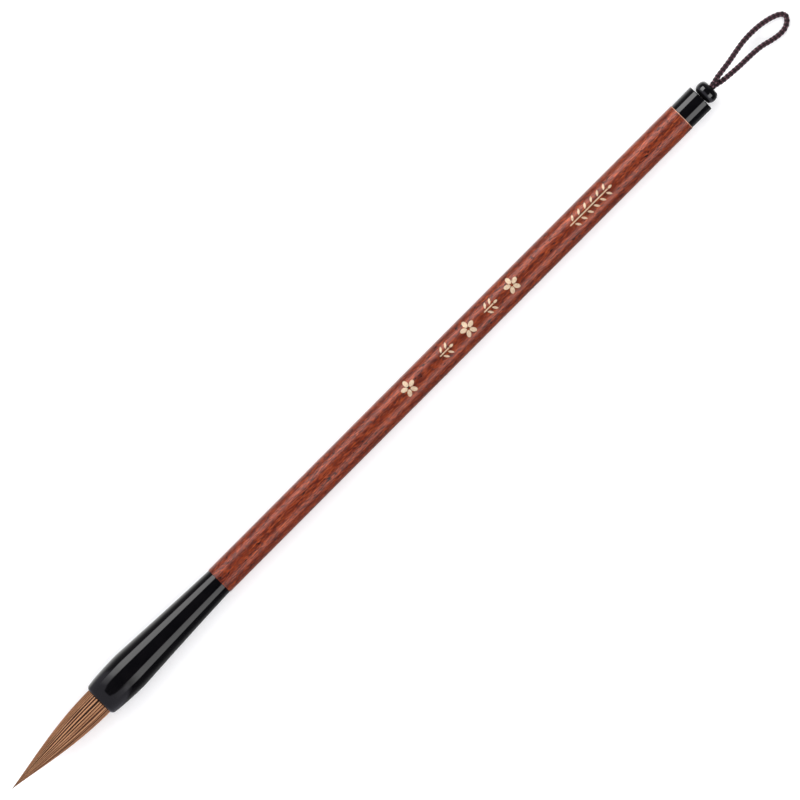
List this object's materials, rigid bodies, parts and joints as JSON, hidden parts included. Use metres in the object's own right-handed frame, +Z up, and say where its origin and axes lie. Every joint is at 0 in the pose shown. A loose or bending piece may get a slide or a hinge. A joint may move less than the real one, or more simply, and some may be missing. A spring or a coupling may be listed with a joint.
{
  "type": "calligraphy brush",
  "caption": "Chinese writing brush lying down: pointed hair tuft in a bell ferrule, round wooden shaft, end cap, bead and braided hanging loop.",
  "frame": {"origin": "middle of the bottom of the brush's box as it lies on a table, measured without the cord, its knot and the bead", "axes": "+X along the brush from the hair's tip towards the hanging loop, +Z up from the table; the brush's own axis drops 0.41 degrees towards +X, because the ferrule's belly is thicker than the shaft"},
  "size_m": [0.2836, 0.011, 0.0109],
  "materials": {
    "hair": "fine brown animal hair, slightly glossy",
    "core_hair": "stiffer, darker animal hair",
    "thread": "waxed cotton thread",
    "resin": "hard amber resin",
    "glue": "clear yellowish glue",
    "black_horn": "polished black horn-like plastic",
    "rosewood": "red-brown wood with fine grain, satin varnish",
    "gold_foil": "pale gold foil, slightly dull",
    "braid": "dark purple-brown braided cord"
  },
  "bodies": {
    "handle": {"handle_shaft": "rosewood", "ferrule": "black_horn", "ferrule_glue": "glue", "end_cap": "black_horn", "cap_glue": "glue", "gold_inlay": "gold_foil", "core_hair_root": "core_hair", "cover_hair_root": "hair", "binding_thread": "thread", "resin_plug": "resin", "cord_stem": "braid", "cord_knot": "braid"},
    "tuft": {"core_hair_tip": "core_hair", "cover_hair_tip": "hair"},
    "sliding_bead": {"bead": "black_horn"},
    "loop": {"cord_loop": "braid"}
  },
  "joints": [
    {"name": "tuft_flex", "type": "hinge", "parent": "handle", "child": "tuft", "pos_m": [-0.10506, 0, 0.00562], "axis": [0, 0, 1], "range_deg": [-35, 35], "stiffness_Nm_per_rad": 0.002},
    {"name": "bead_slide", "type": "slide", "parent": "handle", "child": "sliding_bead", "axis": [1, 0, -0.0072], "range_m": [0, 0.003]},
    {"name": "loop_swing", "type": "hinge", "parent": "handle", "child": "loop", "pos_m": [0.13483, 0, 0.00389], "axis": [0, -1, 0], "range_deg": [0, 100]}
  ]
}
